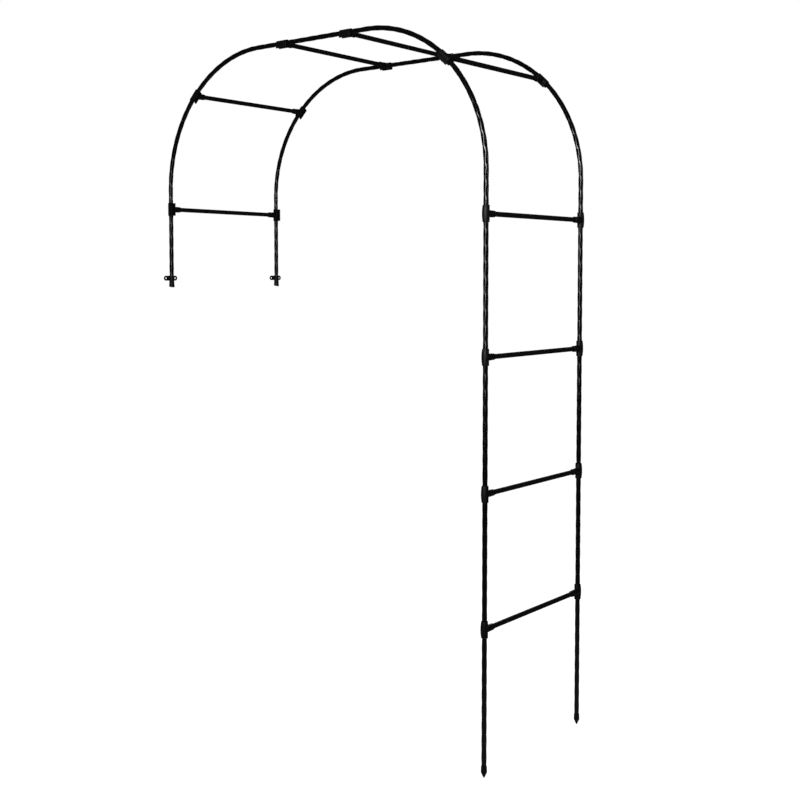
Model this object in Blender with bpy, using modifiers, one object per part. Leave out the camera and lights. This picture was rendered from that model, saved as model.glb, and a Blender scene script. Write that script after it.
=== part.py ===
"""Wall-side trellis arch: two tube hoops joined by nine rungs.

The long legs stand in the ground on spikes, and the short legs hang beside a
wall, each with a sliding wall clip above its end cap.
Metres, +Z up, +X from the wall legs to the ground legs, +Y from the front
hoop to the rear hoop.  The origin is on the ground line of the spike tips.
"""

import math

import bmesh
import bpy
from mathutils import Matrix, Vector

# Hoops
SPAN = 1.40               # leg to leg, tube centres
DEPTH = 0.54              # front hoop to rear hoop, tube centres
BEND_RADIUS = 0.46        # of both bends, at the tube centre
BEND_START = 1.81         # height where the legs start to bend
TUBE_RADIUS = 0.008
TUBE_WALL = 0.0008
BEND_STEPS = 20           # straight chords in each quarter bend

# Rungs: heights on the legs, angles on the bends, places along the top
GROUND_LEG_RUNGS = (0.45, 0.855, 1.26, 1.68)
GROUND_BEND_RUNG = math.radians(47.5)
WALL_BEND_RUNG = math.radians(45.5)
WALL_TOP_RUNG_X = -0.125
GROUND_TOP_RUNG_X = 0.157
WALL_LEG_RUNG = 1.74
RUNG_RADIUS = 0.00775
RUNG_WALL = 0.001

# Joints between the tubes of one hoop, each inside a tee
LOWER_JOINT = GROUND_LEG_RUNGS[0]
UPPER_JOINT = GROUND_LEG_RUNGS[2]
TOP_JOINT_X = GROUND_TOP_RUNG_X
SPIGOT_LENGTH = 0.032
SPIGOT_TAPER = 0.004
SPIGOT_RADIUS = 0.0068

# Tees
LEG_TEE_BORE_RADIUS = 0.0085
TEE_BODY_RADIUS = 0.0108
TEE_BACK_BULGE = 0.0124   # radius of the back of a leg tee at mid-height
TEE_BACK_END = 0.0098     # and at its ends
TEE_BACK_SPREAD = 1.6     # how fast the bulge is reached round the sleeve
TEE_BACK_LEVELS = (-0.6, -0.25, 0.25, 0.6)
LEG_TEE_LENGTH = 0.050
CLIP_TEE_LENGTH = 0.046
CLIP_TEE_RADIUS = 0.0106
CLIP_TEE_BORE_RADIUS = 0.0089
BEND_TEE_SHIFT = 0.00045  # towards the inside of the bend, so that the bent tube passes
JAW_REACH = 0.0148
JAW_HALF_WIDTH = 0.0096
JAW_SLOT_HALF = 0.0058
SOCKET_RADIUS = 0.0113
SOCKET_MOUTH_RADIUS = 0.0098
SOCKET_REACH = 0.042
SOCKET_FLOOR = 0.0122
SOCKET_CHAMFER = 0.0012

# Ground spikes
SPIKE_CONE = 0.017
SPIKE_HEIGHT = 0.037
SPIKE_FLOOR = 0.0185
SPIKE_RADIUS = 0.0094
SPIKE_TOP_RADIUS = 0.0089
SPIKE_EDGE = 0.002
SPIKE_POINT_RADIUS = 0.0012

# End caps and wall clips
CAP_BOTTOM = 1.455
CAP_TOP = 1.479
CAP_FLOOR = 0.0095
CAP_TOP_RADIUS = 0.0092
CAP_WAIST_RADIUS = 0.0095
CAP_WAIST = 0.010
CAP_SKIRT_RADIUS = 0.0102
CAP_HEM = 0.003
CAP_SLANT = 0.20          # rise of the foot towards the wall, per unit of length
CLIP_HEIGHT = 0.019
CLIP_RING_RADIUS = 0.0100
CLIP_BORE_RADIUS = 0.00835
CLIP_HOLE_SPACING = 0.043
CLIP_HOLE_RADIUS = 0.0034
LUG_BACK = 0.0079         # wall face of the lugs, from the tube's centre
LUG_THICKNESS = 0.003
LUG_INSET = 0.0003        # of the lugs' edges from the ring's two ends

GAP = 0.0003              # left between pieces that touch
LOOSE_BORE_RADIUS = TUBE_RADIUS + GAP
TUBE_SIDES_RESOLUTION = 4
ROUND_SIDES = 16
CLIP_SIDES = 20
HOLE_SIDES = 12
SHARP_ANGLE = math.radians(35)
WELD_DISTANCE = 0.00001

COLLECTION_NAME = "trellis_arch"
HOOPS = {"front": -DEPTH / 2, "rear": DEPTH / 2}
LEG_X = SPAN / 2
CROWN_Z = BEND_START + BEND_RADIUS
TOP_HALF = LEG_X - BEND_RADIUS


def clear_scene():
    """Remove every object of the startup scene."""
    for old in list(bpy.data.objects):
        bpy.data.objects.remove(old, do_unlink=True)


def new_collection(name):
    """Make a collection in the scene."""
    collection = bpy.data.collections.new(name)
    bpy.context.scene.collection.children.link(collection)
    return collection


def finish_material(name, colour, roughness, metallic):
    """Make a plain Principled material."""
    material = bpy.data.materials.new(name)
    material.use_nodes = True
    shader = material.node_tree.nodes["Principled BSDF"]
    shader.inputs["Base Color"].default_value = (*colour, 1.0)
    shader.inputs["Roughness"].default_value = roughness
    shader.inputs["Metallic"].default_value = metallic
    return material


def add_object(name, mesh, collection, material=None):
    """Put a mesh in a collection as a named object."""
    new = bpy.data.objects.new(name, mesh)
    collection.objects.link(new)
    if material is not None and not mesh.materials:
        mesh.materials.append(material)
    return new


def smooth_round(mesh):
    """Shade the round faces smooth and keep the edges crisp."""
    mesh.shade_smooth()
    mesh.set_sharp_from_angle(angle=SHARP_ANGLE)


def baked_mesh(made, name):
    """Return an object's mesh with its modifiers applied, and remove the object."""
    bpy.context.view_layer.update()
    depsgraph = bpy.context.evaluated_depsgraph_get()
    mesh = bpy.data.meshes.new_from_object(made.evaluated_get(depsgraph))
    mesh.name = name
    bpy.data.objects.remove(made, do_unlink=True)
    smooth_round(mesh)
    return mesh


def boolean(target, cutter, operation):
    """Join or cut the target with another object, which becomes a guide."""
    cutter.hide_render = True
    cutter.display_type = "WIRE"
    modifier = target.modifiers.new(operation.lower(), "BOOLEAN")
    modifier.operation = operation
    modifier.object = cutter
    modifier.solver = "EXACT"


# ---------------------------------------------------------------- primitives

def cylinder(name, collection, radius, low, high, axis="Z", sides=ROUND_SIDES):
    """Make a cylinder along a local axis from low to high."""
    made = bmesh.new()
    bmesh.ops.create_cone(
        made,
        cap_ends=True,
        segments=sides,
        radius1=radius,
        radius2=radius,
        depth=high - low,
    )
    turns = {
        "X": Matrix.Rotation(math.pi / 2, 4, "Y"),
        "Y": Matrix.Rotation(-math.pi / 2, 4, "X"),
        "Z": Matrix(),
    }
    turn = turns[axis]
    bmesh.ops.translate(made, vec=(0, 0, (low + high) / 2), verts=made.verts)
    bmesh.ops.transform(made, matrix=turn, verts=made.verts)
    mesh = bpy.data.meshes.new(name)
    made.to_mesh(mesh)
    made.free()
    return add_object(name, mesh, collection)


def block(name, collection, low, high):
    """Make a box between two corners."""
    low = Vector(low)
    high = Vector(high)
    size = high - low
    made = bmesh.new()
    bmesh.ops.create_cube(made, size=1.0)
    bmesh.ops.scale(made, vec=size, verts=made.verts)
    bmesh.ops.translate(made, vec=(low + high) / 2, verts=made.verts)
    mesh = bpy.data.meshes.new(name)
    made.to_mesh(mesh)
    made.free()
    return add_object(name, mesh, collection)


def turned(name, collection, profile, sides=ROUND_SIDES):
    """Turn a profile of (radius, height) points, outer side first, about Z."""
    mesh = bpy.data.meshes.new(name)
    points = [(radius, 0.0, height) for radius, height in profile]
    mesh.from_pydata(points, [(i, i + 1) for i in range(len(points) - 1)], [])
    made = add_object(name, mesh, collection)
    screw = made.modifiers.new("turn", "SCREW")
    screw.axis = "Z"
    screw.angle = 2 * math.pi
    screw.steps = sides
    screw.render_steps = sides
    screw.use_merge_vertices = True
    screw.merge_threshold = 0.0001
    return made


# --------------------------------------------------------------------- hoops

def bend_points(side, start, end):
    """Points of a quarter bend in the hoop's plane, from one angle to another.

    The angle is 0 where the leg begins to bend and 90 degrees at the top.
    """
    points = []
    for step in range(BEND_STEPS + 1):
        angle = start + (end - start) * step / BEND_STEPS
        x = side * (TOP_HALF + BEND_RADIUS * math.cos(angle))
        points.append((x, BEND_START + BEND_RADIUS * math.sin(angle)))
    return points


def with_spigot(points):
    """Swage the end of a path: it narrows just before its last point and runs on as a spigot.

    Returns the points with the tube's radius at each.
    """
    last = Vector(points[-1])
    heading = (last - Vector(points[-2])).normalized()
    path = [(point, TUBE_RADIUS) for point in points[:-1]]
    path.append((tuple(last - heading * SPIGOT_TAPER), TUBE_RADIUS))
    path.append((tuple(last), SPIGOT_RADIUS))
    path.append((tuple(last + heading * SPIGOT_LENGTH), SPIGOT_RADIUS))
    return path


def tube(name, collection, material, y, path, wall):
    """Sweep an open tube along (x, z) points with radii, in the plane at y."""
    curve = bpy.data.curves.new(name, "CURVE")
    curve.dimensions = "3D"
    curve.bevel_depth = TUBE_RADIUS
    curve.bevel_resolution = TUBE_SIDES_RESOLUTION
    curve.use_fill_caps = False
    spline = curve.splines.new("POLY")
    spline.points.add(len(path) - 1)
    origin = Vector((path[0][0][0], y, path[0][0][1]))
    for point, ((x, z), radius) in zip(spline.points, path):
        point.co = (x - origin.x, 0.0, z - origin.z, 1.0)
        point.radius = radius / TUBE_RADIUS
    return walled(name, collection, material, curve, origin, wall)


def walled(name, collection, material, curve, origin, wall):
    """Turn a swept skin into a tube with a wall, open at both ends."""
    guide = bpy.data.objects.new(name + "_path", curve)
    collection.objects.link(guide)
    shell = guide.modifiers.new("wall", "SOLIDIFY")
    shell.thickness = wall
    shell.offset = -1.0
    shell.use_even_offset = True
    mesh = baked_mesh(guide, name)
    bpy.data.curves.remove(curve)
    mesh.materials.clear()
    made = add_object(name, mesh, collection, material)
    made.location = origin
    return made


def build_hoop(side, y, collection, material):
    """Make the four tubes of one hoop."""
    spike_seat = SPIKE_FLOOR + GAP
    tube(
        side + "_lower_leg", collection, material, y,
        with_spigot([(LEG_X, spike_seat), (LEG_X, LOWER_JOINT - GAP)]), TUBE_WALL,
    )
    tube(
        side + "_upper_leg", collection, material, y,
        with_spigot([(LEG_X, LOWER_JOINT), (LEG_X, UPPER_JOINT - GAP)]), TUBE_WALL,
    )
    ground_bow = [(LEG_X, UPPER_JOINT)] + bend_points(1, 0, math.pi / 2) + [(TOP_JOINT_X + GAP, CROWN_Z)]
    tube(side + "_ground_bow", collection, material, y, with_spigot(ground_bow), TUBE_WALL)
    cap_seat = CAP_BOTTOM + CAP_FLOOR + GAP
    wall_bow = [(TOP_JOINT_X, CROWN_Z)] + bend_points(-1, math.pi / 2, 0) + [(-LEG_X, cap_seat)]
    tube(side + "_wall_bow", collection, material, y, [(point, TUBE_RADIUS) for point in wall_bow], TUBE_WALL)


# --------------------------------------------------------------------- rungs

def bend_place(side, angle):
    """Position and inward direction of a rung on a bend."""
    outward = (side * math.cos(angle), math.sin(angle))
    reach = BEND_RADIUS - BEND_TEE_SHIFT
    place = (side * TOP_HALF + reach * outward[0], BEND_START + reach * outward[1])
    return place, (-outward[0], -outward[1])


def rung_places():
    """Position and inward direction of each rung, from the wall leg to the ground leg."""
    places = [
        ((-LEG_X, WALL_LEG_RUNG), (1, 0)),
        bend_place(-1, WALL_BEND_RUNG),
        ((WALL_TOP_RUNG_X, CROWN_Z), (0, -1)),
        ((GROUND_TOP_RUNG_X, CROWN_Z), (0, -1)),
        bend_place(1, GROUND_BEND_RUNG),
    ]
    places += [((LEG_X, height), (-1, 0)) for height in reversed(GROUND_LEG_RUNGS)]
    return places


def build_rungs(collection, material):
    """Make the nine rungs, which share one mesh."""
    half = DEPTH / 2 - SOCKET_FLOOR - GAP
    curve = bpy.data.curves.new("rung", "CURVE")
    curve.dimensions = "3D"
    curve.bevel_depth = RUNG_RADIUS
    curve.bevel_resolution = TUBE_SIDES_RESOLUTION
    curve.use_fill_caps = False
    spline = curve.splines.new("POLY")
    spline.points.add(1)
    spline.points[0].co = (0.0, -half, 0.0, 1.0)
    spline.points[1].co = (0.0, half, 0.0, 1.0)
    first = walled("rung_1", collection, material, curve, Vector(), RUNG_WALL)
    for number, ((x, z), _) in enumerate(rung_places(), start=1):
        rung = first if number == 1 else add_object("rung_%d" % number, first.data, collection)
        rung.location = (x, 0.0, z)


# ---------------------------------------------------------------------- tees

def add_socket(body, cutters):
    """Join the rung's socket to a tee body, along +Y."""
    profile = [
        (0.0, SOCKET_REACH),
        (SOCKET_MOUTH_RADIUS - SOCKET_CHAMFER / 2, SOCKET_REACH),
        (SOCKET_MOUTH_RADIUS, SOCKET_REACH - SOCKET_CHAMFER),
        (SOCKET_RADIUS, 0.0),
        (0.0, 0.0),
    ]
    socket = turned("tee_socket", cutters, profile)
    socket.rotation_euler.x = -math.pi / 2
    boolean(body, socket, "UNION")


def cut_bores(body, cutters, bore_radius):
    """Bore a tee for the hoop tube along Z and for the rung along Y."""
    reach = LEG_TEE_LENGTH
    boolean(body, cylinder("tee_tube_bore", cutters, bore_radius, -reach, reach), "DIFFERENCE")
    rung_bore = cylinder(
        "tee_rung_bore", cutters, RUNG_RADIUS + GAP, SOCKET_FLOOR, SOCKET_REACH + TUBE_RADIUS, axis="Y",
    )
    boolean(body, rung_bore, "DIFFERENCE")


def leg_tee_mesh(cutters):
    """Full sleeve with a bulged back; its socket points along +Y."""
    half = LEG_TEE_LENGTH / 2
    body = cylinder("leg_tee_body", cutters, TEE_BODY_RADIUS, -half, half)
    shaped = bmesh.new()
    shaped.from_mesh(body.data)
    for level in TEE_BACK_LEVELS:
        geometry = shaped.verts[:] + shaped.edges[:] + shaped.faces[:]
        bmesh.ops.bisect_plane(shaped, geom=geometry, plane_co=(0, 0, half * level), plane_no=(0, 0, 1))
    for vert in shaped.verts:
        spot = Vector((vert.co.x, vert.co.y))
        backward = min(1.0, max(0.0, -spot.normalized().y * TEE_BACK_SPREAD))
        crown = 1 - (vert.co.z / half) ** 2
        back = TEE_BACK_END + (TEE_BACK_BULGE - TEE_BACK_END) * crown
        radius = TEE_BODY_RADIUS + (back - TEE_BODY_RADIUS) * backward
        spot = spot.normalized() * radius
        vert.co.x = spot.x
        vert.co.y = spot.y
    shaped.to_mesh(body.data)
    shaped.free()
    add_socket(body, cutters)
    cut_bores(body, cutters, LEG_TEE_BORE_RADIUS)
    return baked_mesh(body, "leg_tee")


def clip_tee_mesh(cutters):
    """Snap-on sleeve, open between two square jaws on its +X side; its socket points along +Y."""
    half = CLIP_TEE_LENGTH / 2
    body = cylinder("clip_tee_body", cutters, CLIP_TEE_RADIUS, -half, half)
    jaws = block(
        "clip_tee_jaws", cutters, (0.0, -JAW_HALF_WIDTH, -half), (JAW_REACH, JAW_HALF_WIDTH, half),
    )
    boolean(body, jaws, "UNION")
    add_socket(body, cutters)
    cut_bores(body, cutters, CLIP_TEE_BORE_RADIUS)
    slot = block(
        "clip_tee_slot", cutters, (0.0, -JAW_SLOT_HALF, -2 * half), (2 * JAW_REACH, JAW_SLOT_HALF, 2 * half),
    )
    boolean(body, slot, "DIFFERENCE")
    return baked_mesh(body, "clip_tee")


def build_tees(collection, cutters, material):
    """Put a tee at each end of each rung."""
    leg_tee = leg_tee_mesh(cutters)
    clip_tee = clip_tee_mesh(cutters)
    leg_tee.materials.append(material)
    clip_tee.materials.append(material)
    first_leg_rung = len(rung_places()) - len(GROUND_LEG_RUNGS) + 1
    for number, ((x, z), (inward_x, inward_z)) in enumerate(rung_places(), start=1):
        mesh = leg_tee if number >= first_leg_rung else clip_tee
        for side, y in HOOPS.items():
            inward = Vector((inward_x, 0, inward_z))
            socket = Vector((0, -math.copysign(1, y), 0))
            turn = Matrix((inward, socket, inward.cross(socket))).transposed()
            tee = add_object("%s_tee_%d" % (side, number), mesh, collection)
            tee.location = (x, y, z)
            tee.rotation_euler = turn.to_euler()


# ---------------------------------------------------- spikes, caps and clips

def build_pair(name, mesh, collection, material, place):
    """Put a piece on the front hoop and its copy on the rear hoop."""
    mesh.materials.append(material)
    for side, y in HOOPS.items():
        piece = add_object("%s_%s" % (side, name), mesh, collection)
        piece.location = (place[0], y, place[1])


def build_spikes(collection, material):
    """Make the pointed shoes of the ground legs."""
    profile = [
        (0.0, SPIKE_FLOOR),
        (LOOSE_BORE_RADIUS, SPIKE_FLOOR),
        (LOOSE_BORE_RADIUS, SPIKE_HEIGHT),
        (SPIKE_TOP_RADIUS, SPIKE_HEIGHT),
        (SPIKE_RADIUS, SPIKE_CONE + SPIKE_EDGE),
        (SPIKE_RADIUS - SPIKE_EDGE / 2, SPIKE_CONE - SPIKE_EDGE / 2),
        (SPIKE_POINT_RADIUS, SPIKE_POINT_RADIUS / 2),
        (0.0, 0.0),
    ]
    mesh = baked_mesh(turned("spike_shape", collection, profile), "ground_spike")
    build_pair("ground_spike", mesh, collection, material, (LEG_X, 0.0))


def build_caps(collection, material):
    """Make the end caps, with a flared skirt and a slanted foot."""
    height = CAP_TOP - CAP_BOTTOM
    profile = [
        (0.0, CAP_FLOOR),
        (LOOSE_BORE_RADIUS, CAP_FLOOR),
        (LOOSE_BORE_RADIUS, height),
        (CAP_TOP_RADIUS, height),
        (CAP_WAIST_RADIUS, CAP_WAIST),
        (CAP_SKIRT_RADIUS, CAP_HEM),
        (CAP_SKIRT_RADIUS, 0.0),
        (0.0, 0.0),
    ]
    mesh = baked_mesh(turned("cap_shape", collection, profile), "end_cap")
    for vert in mesh.vertices:
        if vert.co.z <= CAP_HEM + GAP:
            vert.co.z += CAP_SLANT * (CAP_SKIRT_RADIUS - vert.co.x)
    build_pair("end_cap", mesh, collection, material, (-LEG_X, CAP_BOTTOM))


def circle_points(centre, radius, start, end, sides):
    """Points of an arc in a plane, both ends included."""
    steps = range(sides + 1)
    angles = [start + (end - start) * step / sides for step in steps]
    return [(centre + radius * math.cos(angle), radius * math.sin(angle)) for angle in angles]


def add_outline(curve, points):
    """Add a closed outline to a flat curve."""
    spline = curve.splines.new("POLY")
    spline.use_cyclic_u = True
    spline.points.add(len(points) - 1)
    for point, (x, y) in zip(spline.points, points):
        point.co = (x, y, 0.0, 1.0)


def lug_plate(cutters, front, back):
    """Flat bar with round ends and two screw holes, across the wall leg from front to back."""
    ear = CLIP_HOLE_SPACING / 2
    half = CLIP_HEIGHT / 2 - LUG_INSET
    turn = math.pi / 2
    curve = bpy.data.curves.new("clip_lugs", "CURVE")
    curve.dimensions = "2D"
    curve.fill_mode = "BOTH"
    curve.extrude = (front - back) / 2
    right_end = circle_points(ear, half, -turn, turn, CLIP_SIDES // 2)
    left_end = circle_points(-ear, half, turn, 3 * turn, CLIP_SIDES // 2)
    add_outline(curve, right_end + left_end)
    for centre in (-ear, ear):
        hole = circle_points(centre, CLIP_HOLE_RADIUS, 0, 4 * turn, HOLE_SIDES)
        add_outline(curve, hole[:-1])
    guide = bpy.data.objects.new("clip_lugs", curve)
    cutters.objects.link(guide)
    mesh = baked_mesh(guide, "clip_lugs")
    bpy.data.curves.remove(curve)
    welded = bmesh.new()
    welded.from_mesh(mesh)
    bmesh.ops.remove_doubles(welded, verts=welded.verts, dist=WELD_DISTANCE)
    welded.to_mesh(mesh)
    welded.free()
    plate = add_object("clip_lugs", mesh, cutters)
    plate.rotation_euler = (turn, 0, turn)
    plate.location.x = (front + back) / 2
    return plate


def wall_clip_mesh(cutters):
    """Ring round the tube, flat on the wall side, with an eared lug each way along Y.

    Everything is made too deep and then cut off flat at the wall.
    """
    half = CLIP_HEIGHT / 2
    deep = -2 * LUG_BACK
    body = cylinder("clip_ring", cutters, CLIP_RING_RADIUS, -half, half, sides=CLIP_SIDES)
    lugs = lug_plate(cutters, -LUG_BACK + LUG_THICKNESS, deep)
    boolean(body, lugs, "UNION")
    wall = (-LUG_BACK, CLIP_HOLE_SPACING, CLIP_HEIGHT)
    behind = block("clip_wall", cutters, (2 * deep, -CLIP_HOLE_SPACING, -CLIP_HEIGHT), wall)
    boolean(body, behind, "DIFFERENCE")
    bore = cylinder("clip_bore", cutters, CLIP_BORE_RADIUS, -CLIP_HEIGHT, CLIP_HEIGHT)
    boolean(body, bore, "DIFFERENCE")
    return baked_mesh(body, "wall_clip")


def build_clips(collection, cutters, material):
    """Put the wall clips on the wall legs, each on an empty at the axis it slides along."""
    mesh = wall_clip_mesh(cutters)
    mesh.materials.append(material)
    for side, y in HOOPS.items():
        slide = bpy.data.objects.new(side + "_clip_slide", None)
        collection.objects.link(slide)
        slide.location = (-LEG_X, y, CAP_TOP + GAP + CLIP_HEIGHT / 2)
        clip = add_object(side + "_wall_clip", mesh, collection)
        clip.parent = slide


def main():
    """Build the whole arch."""
    clear_scene()
    parts = new_collection(COLLECTION_NAME)
    cutters = new_collection("cutters")
    hoop_black = finish_material("hoop_black", (0.012, 0.013, 0.014), 0.32, 0.0)
    rung_black = finish_material("rung_black", (0.014, 0.015, 0.015), 0.45, 0.0)
    plastic_black = finish_material("plastic_black", (0.016, 0.017, 0.017), 0.5, 0.0)
    for side, y in HOOPS.items():
        build_hoop(side, y, parts, hoop_black)
    build_rungs(parts, rung_black)
    build_tees(parts, cutters, plastic_black)
    build_spikes(parts, plastic_black)
    build_caps(parts, plastic_black)
    build_clips(parts, cutters, plastic_black)
    bpy.context.view_layer.update()


main()
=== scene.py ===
"""Looks of the wall-side trellis arch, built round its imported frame.

Two hoops of spiral-fluted tube are joined by nine plain rungs in moulded tees.
The long legs end in ground spikes; the short legs hang beside a wall, each
with an end cap and a sliding wall clip.
Metres, +Z up, +X from the wall legs to the ground legs, +Y from the front
hoop to the rear hoop.
"""

import math

import bmesh
import bpy
from mathutils import Matrix, Vector


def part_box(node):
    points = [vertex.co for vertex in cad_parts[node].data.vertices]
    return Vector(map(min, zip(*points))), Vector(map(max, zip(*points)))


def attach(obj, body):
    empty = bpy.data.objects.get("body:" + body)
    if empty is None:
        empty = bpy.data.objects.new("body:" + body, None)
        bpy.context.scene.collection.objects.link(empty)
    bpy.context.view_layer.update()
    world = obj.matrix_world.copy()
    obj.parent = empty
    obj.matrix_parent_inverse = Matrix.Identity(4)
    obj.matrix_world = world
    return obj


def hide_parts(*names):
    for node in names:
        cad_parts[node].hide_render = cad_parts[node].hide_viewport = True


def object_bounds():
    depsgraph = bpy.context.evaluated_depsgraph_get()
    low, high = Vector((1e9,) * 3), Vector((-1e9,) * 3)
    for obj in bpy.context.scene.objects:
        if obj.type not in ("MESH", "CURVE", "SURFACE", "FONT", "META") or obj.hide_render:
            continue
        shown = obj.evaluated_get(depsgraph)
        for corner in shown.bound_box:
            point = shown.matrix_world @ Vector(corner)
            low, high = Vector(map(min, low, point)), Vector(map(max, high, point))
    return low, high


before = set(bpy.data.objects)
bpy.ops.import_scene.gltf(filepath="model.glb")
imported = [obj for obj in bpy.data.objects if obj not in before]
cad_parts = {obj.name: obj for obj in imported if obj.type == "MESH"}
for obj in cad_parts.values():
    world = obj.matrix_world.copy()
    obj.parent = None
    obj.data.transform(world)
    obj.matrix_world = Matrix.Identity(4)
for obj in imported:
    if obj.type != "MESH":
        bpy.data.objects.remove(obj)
cad_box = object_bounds()

bl_info = {
    "name": "Wall-side trellis arch",
    "version": (1, 0, 0),
    "blender": (4, 5, 0),
    "location": "3D View > Sidebar > Trellis arch",
    "description": "Builds the tubes, tees, spikes, caps and wall clips of a garden arch",
    "category": "Object",
}

HOOPS = ("front", "rear")
RUNG_COUNT = 9
RUNG_NUMBERS = range(1, RUNG_COUNT + 1)

# How finely the shapes are drawn.
SIDES = 40
FINE_SIDES = 48
RUNG_SIDES = 32
HOLE_SIDES = 28
FLOOR_SIDES = 96
POINTS_PER_FLUTE = 12
RING_SPACING = 0.004
BORE_RING_SPACING = 0.03
SMOOTH_ANGLE = math.radians(38)

# Points nearer than this are one point, and places nearer than this are one place.
ONE_POINT = 1e-6
ONE_PLACE = 0.001

# The usual span of a noise texture, whose extremes are rare.
NOISE_LOW = 0.3
NOISE_HIGH = 0.7

ACROSS = Vector((0, 1, 0))
ALONG_Y = Matrix.Rotation(-math.pi / 2, 4, "X")
ALONG_X = Matrix.Rotation(math.pi / 2, 4, "Y")

WHITE = (1.0, 1.0, 1.0, 1.0)
BEAM_SPREAD = math.radians(70)
ROOM_LIGHT = 0.03

# Each softbox: its name, place, target, width, height and watts.
SOFTBOXES = (
    ("key softbox", (1.42, -3.2, 2.55), (0.6, 0.0, 1.75), 0.75, 1.2, 10.0),
    ("low softbox", (1.42, -3.2, 1.45), (0.6, 0.0, 1.45), 0.75, 0.8, 2.4),
    ("side softbox", (4.6, 0.6, 2.6), (0.0, 0.0, 1.5), 0.5, 1.2, 1.2),
    ("back softbox", (-2.2, 4.0, 2.8), (0.0, 0.0, 1.5), 1.2, 1.6, 7.0),
)


# ------------------------------------------------------- places, from the frame

def middle(node):
    """Centre of a node of the frame."""
    low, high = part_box(node)
    return (low + high) / 2


def extent(node):
    """Size of a node of the frame along each axis."""
    low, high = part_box(node)
    return high - low


def low_end(node):
    """Height of a node's foot."""
    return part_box(node)[0].z


LEG_X = middle("front_lower_leg").x
HOOP_Y = {side: middle(side + "_lower_leg").y for side in HOOPS}
CROWN_Z = middle("rung_4").z
LEG_TEE_NUMBERS = [n for n in RUNG_NUMBERS if abs(middle("rung_%d" % n).x - LEG_X) < ONE_PLACE]
CLIP_TEE_NUMBERS = [n for n in RUNG_NUMBERS if n not in LEG_TEE_NUMBERS]

LEG_TEE_LOW, LEG_TEE_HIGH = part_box("front_tee_9")
CLIP_TEE_LOW, CLIP_TEE_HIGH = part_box("front_tee_1")
SPIKE_SIZE = extent("front_ground_spike")
CAP_SIZE = extent("front_end_cap")
CLIP_LOW, CLIP_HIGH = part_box("front_wall_clip")


# --------------------------------------------------------------------- settings

def length(name, description, default):
    """A length setting, in metres."""
    return bpy.props.FloatProperty(
        name=name, description=description, default=default, min=0.0, precision=5, unit="LENGTH",
    )


def colour(name, description, default):
    """A colour setting."""
    return bpy.props.FloatVectorProperty(
        name=name, description=description, default=default, size=3, min=0.0, max=1.0, subtype="COLOR",
    )


class TrellisTubeSettings(bpy.types.PropertyGroup):
    """Sizes of the hoop tubes and rungs."""

    bend_radius: length("Bend radius", "Radius of both bends at the tube's centre", 0.46)
    tube_radius: length("Tube radius", "Radius over the flutes' crests", extent("front_lower_leg").y / 2)
    tube_wall: length("Tube wall", "Wall thickness of the hoop tube", 0.0008)
    flutes: bpy.props.IntProperty(name="Flutes", description="Spiral flutes round the tube", default=4, min=2)
    flute_depth: length("Flute depth", "Depth of a flute below the crests", 0.0006)
    flute_pitch: length("Flute pitch", "Distance along the tube from one flute to the next", 0.047)
    spigot_radius: length("Spigot radius", "Outer radius of the narrowed tube end", 0.0068)
    spigot_length: length("Spigot length", "Length pushed into the next tube", 0.032)
    spigot_chamfer: length("Spigot chamfer", "Narrowing at the spigot's very tip", 0.0004)
    swage: length("Swage length", "Length over which the tube narrows to its spigot", 0.004)
    joint_gap: length("Joint gap", "Clearance between the ends of two tubes", 0.0003)
    rung_radius: length("Rung radius", "Outer radius of a rung", extent("rung_1").x / 2)
    rung_wall: length("Rung wall", "Wall thickness of a rung", 0.001)


class TrellisTeeSettings(bpy.types.PropertyGroup):
    """Sizes of the tees that join rungs and hoops."""

    leg_sleeve_radius: length("Leg tee radius", "Radius of the full sleeve", 0.0108)
    leg_bore_radius: length("Leg tee bore", "Bore of the full sleeve", 0.0085)
    leg_length: length("Leg tee length", "Length of the full sleeve", LEG_TEE_HIGH.z - LEG_TEE_LOW.z)
    back_bulge: length("Back bulge", "Radius of the back at mid-height", HOOP_Y["front"] - LEG_TEE_LOW.y)
    back_end: length("Back end radius", "Radius of the back at the sleeve's ends", 0.0100)
    clip_sleeve_radius: length("Clip tee radius", "Radius of the snap-on sleeve", 0.0106)
    clip_bore_radius: length("Clip tee bore", "Bore of the snap-on sleeve", 0.0089)
    clip_length: length("Clip tee length", "Length of the snap-on sleeve", CLIP_TEE_HIGH.z - CLIP_TEE_LOW.z)
    jaw_reach: length("Jaw reach", "From the tube's centre to the jaws' tips", CLIP_TEE_HIGH.x + LEG_X)
    jaw_half_width: length("Jaw half width", "Half the width over both jaws", 0.0096)
    jaw_slot_half: length("Jaw slot half width", "Half the gap between the jaws", 0.0058)
    socket_radius: length("Socket root radius", "Radius of the socket at the sleeve", 0.0112)
    socket_mouth_radius: length("Socket mouth radius", "Radius of the socket at its mouth", 0.0099)
    socket_reach: length("Socket reach", "Tube's centre to the mouth", LEG_TEE_HIGH.y - HOOP_Y["front"])
    socket_floor: length("Socket floor", "Tube's centre to the socket's floor", 0.0122)
    grain: length("Working grain", "Cell of the remesh that rounds the moulded shapes", 0.0007)


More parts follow.
